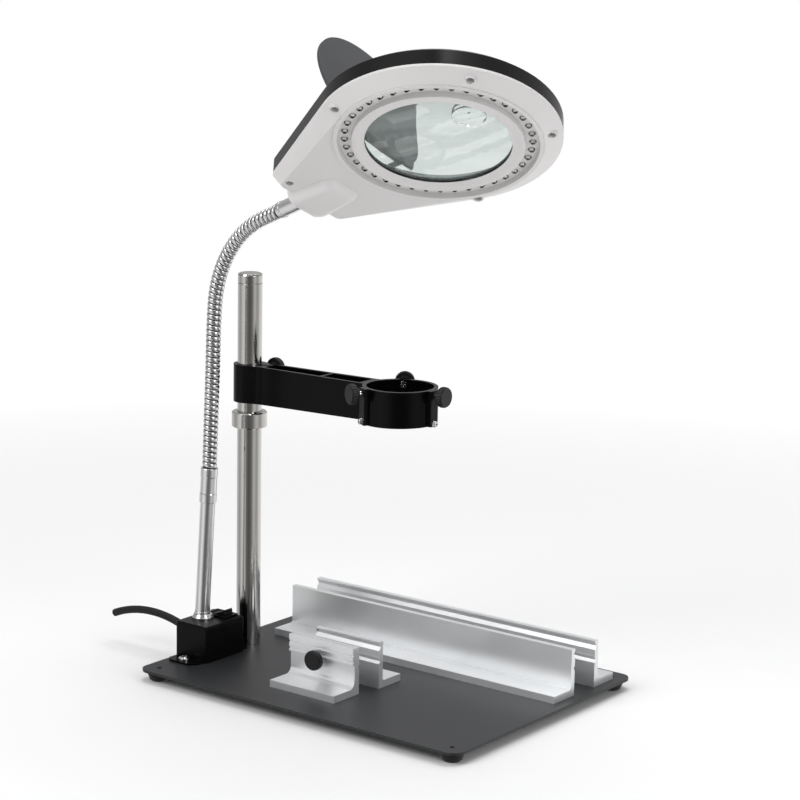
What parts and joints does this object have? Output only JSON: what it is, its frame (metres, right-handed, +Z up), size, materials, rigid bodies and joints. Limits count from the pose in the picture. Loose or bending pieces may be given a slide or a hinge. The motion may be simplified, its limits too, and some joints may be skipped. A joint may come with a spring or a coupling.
{
  "type": "magnifying lamp",
  "caption": "Magnifying lamp on a gooseneck over a soldering stand, with lamp ring, lens cover, post-mounted tool holder ring and sliding board rails.",
  "frame": {"origin": "under the middle of the whole lamp's bounding box, on the plane the rubber feet rest on; the base plate's centre is at (37.0, 6.6) mm", "axes": "+X along the plate's long side with the post and lamp bracket at -X, +Y across the plate with the long rails on the +Y side, +Z up"},
  "size_m": [0.3936, 0.2432, 0.4872],
  "materials": {
    "plate_paint": "charcoal powder coat, fine orange-peel texture",
    "rubber": "matte black",
    "zinc_steel": "dull zinc plate",
    "post_steel": "satin",
    "bracket_paint": "satin black",
    "bright_screw": "bright nickel plate",
    "black_steel": "black oxide",
    "switch_plastic": "semi-gloss black",
    "chrome": "polished",
    "white_shell": "glossy warm white",
    "black_shell": "glossy black",
    "lens_glass": "polished, slightly green",
    "board_white": "satin light grey",
    "led_clear": "clear epoxy",
    "cover_plastic": "dark grey, fine grain",
    "arm_plastic": "semi-gloss moulded black",
    "knob_plastic": "knurled black",
    "rail_aluminium": "bright drawn finish"
  },
  "bodies": {
    "stand": {"base_plate": "plate_paint", "rubber_feet": "rubber", "foot_rivets": "bracket_paint", "stand_post": "post_steel", "post_cap": "post_steel", "post_insert": "zinc_steel", "post_bolt": "zinc_steel", "post_washer": "zinc_steel", "lamp_bracket": "bracket_paint", "bracket_screws": "bright_screw", "bracket_nuts": "zinc_steel", "switch_housing": "switch_plastic", "cable_grommet": "rubber", "power_cable": "rubber", "tube_flange_nut": "chrome", "tube_lock_nut": "zinc_steel", "lower_tube": "chrome", "neck_coupling": "chrome"},
    "rocker": {"rocker_button": "switch_plastic"},
    "neck_1": {"neck_seg_1": "chrome"},
    "neck_2": {"neck_seg_2": "chrome"},
    "neck_3": {"neck_seg_3": "chrome"},
    "neck_4": {"neck_seg_4": "chrome"},
    "neck_5": {"neck_seg_5": "chrome"},
    "neck_6": {"neck_seg_6": "chrome"},
    "neck_7": {"neck_seg_7": "chrome"},
    "neck_8": {"neck_seg_8": "chrome"},
    "neck_9": {"neck_seg_9": "chrome", "neck_ferrule": "chrome", "neck_nut": "zinc_steel"},
    "head": {"lower_shell": "white_shell", "upper_shell": "black_shell", "main_lens": "lens_glass", "inset_lens": "lens_glass", "lens_retainer": "black_shell", "led_board": "board_white", "leds": "led_clear", "shell_screws": "black_steel", "cover_pin": "bright_screw"},
    "cover": {"lens_cover": "cover_plastic"},
    "collar": {"stop_collar": "post_steel", "collar_screw": "black_steel"},
    "arm": {"holder_arm": "arm_plastic", "arm_clamp_nut": "zinc_steel", "ring_lower_screws": "bright_screw"},
    "arm_screw": {"arm_clamp_screw": "bright_screw"},
    "arm_knob": {"arm_clamp_knob": "knob_plastic"},
    "ring_screw_body_1": {"ring_screw_1": "bright_screw"},
    "ring_knob_body_1": {"ring_knob_1": "knob_plastic"},
    "ring_screw_body_2": {"ring_screw_2": "bright_screw"},
    "ring_knob_body_2": {"ring_knob_2": "knob_plastic"},
    "ring_screw_body_3": {"ring_screw_3": "bright_screw"},
    "ring_knob_body_3": {"ring_knob_3": "knob_plastic"},
    "long_front": {"long_rail_front": "rail_aluminium"},
    "long_rear": {"long_rail_rear": "rail_aluminium"},
    "short_front": {"short_rail_front": "rail_aluminium"},
    "short_rear": {"short_rail_rear": "rail_aluminium"},
    "board_screw": {"clamp_screw": "bright_screw"},
    "board_knob": {"clamp_knob": "knob_plastic"}
  },
  "joints": [
    {"name": "switch_tilt", "type": "hinge", "parent": "stand", "child": "rocker", "pos_m": [-0.09552, -0.03198, 0.0384], "axis": [0, 1, 0], "range_deg": [0, 20]},
    {"name": "neck_bend_1", "type": "hinge", "parent": "stand", "child": "neck_1", "pos_m": [-0.09391, -0.04779, 0.15979], "axis": [0, 1, 0], "range_deg": [-8, 6]},
    {"name": "neck_sway_1", "type": "hinge", "parent": "neck_1", "child": "neck_2", "pos_m": [-0.0924, -0.04779, 0.19907], "axis": [0.9993, 0, -0.0384], "range_deg": [-7, 7]},
    {"name": "neck_bend_2", "type": "hinge", "parent": "neck_2", "child": "neck_3", "pos_m": [-0.09089, -0.04779, 0.23834], "axis": [0, 1, 0], "range_deg": [-8, 6]},
    {"name": "neck_sway_2", "type": "hinge", "parent": "neck_3", "child": "neck_4", "pos_m": [-0.08938, -0.04779, 0.27761], "axis": [0.9974, 0, -0.0715], "range_deg": [-7, 7]},
    {"name": "neck_bend_3", "type": "hinge", "parent": "neck_4", "child": "neck_5", "pos_m": [-0.08762, -0.04779, 0.29432], "axis": [0, 1, 0], "range_deg": [-8, 6]},
    {"name": "neck_sway_3", "type": "hinge", "parent": "neck_5", "child": "neck_6", "pos_m": [-0.08299, -0.04779, 0.31047], "axis": [0.9288, 0, -0.3706], "range_deg": [-7, 7]},
    {"name": "neck_bend_4", "type": "hinge", "parent": "neck_6", "child": "neck_7", "pos_m": [-0.07524, -0.04779, 0.32537], "axis": [0, 1, 0], "range_deg": [-8, 6]},
    {"name": "neck_sway_4", "type": "hinge", "parent": "neck_7", "child": "neck_8", "pos_m": [-0.06466, -0.04779, 0.33842], "axis": [0.7071, 0, -0.7071], "range_deg": [-7, 7]},
    {"name": "neck_bend_5", "type": "hinge", "parent": "neck_8", "child": "neck_9", "pos_m": [-0.05161, -0.04779, 0.349], "axis": [0, 1, 0], "range_deg": [-8, 6]},
    {"name": "head_swivel", "type": "hinge", "parent": "neck_9", "child": "head", "pos_m": [0.11658, -0.04779, 0.42356], "axis": [0.9164, 0, 0.4003], "range_deg": [-20, 70]},
    {"name": "cover_flip", "type": "hinge", "parent": "head", "child": "cover", "pos_m": [0.05764, -0.03678, 0.4186], "axis": [0.2002, 0.866, -0.4582], "range_deg": [-8, 107]},
    {"name": "collar_slide", "type": "slide", "parent": "stand", "child": "collar", "axis": [0, 0, 1], "range_m": [-0.12, 0.055]},
    {"name": "arm_swing", "type": "hinge", "parent": "collar", "child": "arm", "pos_m": [-0.09402, -0.00138, 0.2298], "axis": [0, 0, 1], "range_deg": [-45, 90]},
    {"name": "arm_screw_travel", "type": "slide", "parent": "arm", "child": "arm_screw", "axis": [-0.0349, 0.9994, 0], "range_m": [-0.0005, 0.0014]},
    {"name": "arm_knob_turn", "type": "hinge", "parent": "arm_screw", "child": "arm_knob", "pos_m": [-0.08142, -0.00095, 0.2296], "axis": [-0.0349, 0.9994, 0], "range_deg": [-258, 721]},
    {"name": "ring_screw_travel_1", "type": "slide", "parent": "arm", "child": "ring_screw_body_1", "axis": [0.9994, 0.0349, 0], "range_m": [-0.0028, 0]},
    {"name": "ring_knob_turn_1", "type": "hinge", "parent": "ring_screw_body_1", "child": "ring_knob_body_1", "pos_m": [0.08248, 0.00478, 0.2298], "axis": [0.9994, 0.0349, 0], "range_deg": [-1441, 0]},
    {"name": "ring_screw_travel_2", "type": "slide", "parent": "arm", "child": "ring_screw_body_2", "axis": [-0.5299, 0.848, 0], "range_m": [-0.0028, 0]},
    {"name": "ring_knob_turn_2", "type": "hinge", "parent": "ring_screw_body_2", "child": "ring_knob_body_2", "pos_m": [0.03048, 0.03243, 0.2298], "axis": [-0.5299, 0.848, 0], "range_deg": [-1441, 0]},
    {"name": "ring_screw_travel_3", "type": "slide", "parent": "arm", "child": "ring_screw_body_3", "axis": [-0.4695, -0.8829, 0], "range_m": [-0.0028, 0]},
    {"name": "ring_knob_turn_3", "type": "hinge", "parent": "ring_screw_body_3", "child": "ring_knob_body_3", "pos_m": [0.03254, -0.02643, 0.2298], "axis": [-0.4695, -0.8829, 0], "range_deg": [-1441, 0]},
    {"name": "long_front_slide", "type": "slide", "parent": "stand", "child": "long_front", "axis": [0, 1, 0], "range_m": [-0.018, 0.018]},
    {"name": "long_rear_slide", "type": "slide", "parent": "stand", "child": "long_rear", "axis": [0, 1, 0], "range_m": [-0.006, 0.0015]},
    {"name": "short_front_slide", "type": "slide", "parent": "stand", "child": "short_front", "axis": [0, 1, 0], "range_m": [-0.02, 0.008]},
    {"name": "short_rear_slide", "type": "slide", "parent": "stand", "child": "short_rear", "axis": [0, 1, 0], "range_m": [-0.005, 0.008]},
    {"name": "board_screw_travel", "type": "slide", "parent": "short_front", "child": "board_screw", "axis": [0, -1, 0], "range_m": [-0.0016, 0]},
    {"name": "board_knob_turn", "type": "hinge", "parent": "board_screw", "child": "board_knob", "pos_m": [0.02149, -0.05939, 0.0319], "axis": [0, -1, 0], "range_deg": [-721, 0]}
  ],
  "couplings": [
    {"joint": "neck_bend_2", "follows": "neck_bend_1", "ratio": 1},
    {"joint": "neck_sway_2", "follows": "neck_sway_1", "ratio": 1},
    {"joint": "neck_bend_3", "follows": "neck_bend_1", "ratio": 1},
    {"joint": "neck_sway_3", "follows": "neck_sway_1", "ratio": 1},
    {"joint": "neck_bend_4", "follows": "neck_bend_1", "ratio": 1},
    {"joint": "neck_sway_4", "follows": "neck_sway_1", "ratio": 1},
    {"joint": "neck_bend_5", "follows": "neck_bend_1", "ratio": 1},
    {"joint": "arm_knob_turn", "follows": "arm_screw_travel", "rad_per_m": 8976},
    {"joint": "ring_knob_turn_1", "follows": "ring_screw_travel_1", "rad_per_m": 8976},
    {"joint": "ring_knob_turn_2", "follows": "ring_screw_travel_2", "rad_per_m": 8976},
    {"joint": "ring_knob_turn_3", "follows": "ring_screw_travel_3", "rad_per_m": 8976},
    {"joint": "board_knob_turn", "follows": "board_screw_travel", "rad_per_m": 7854}
  ]
}
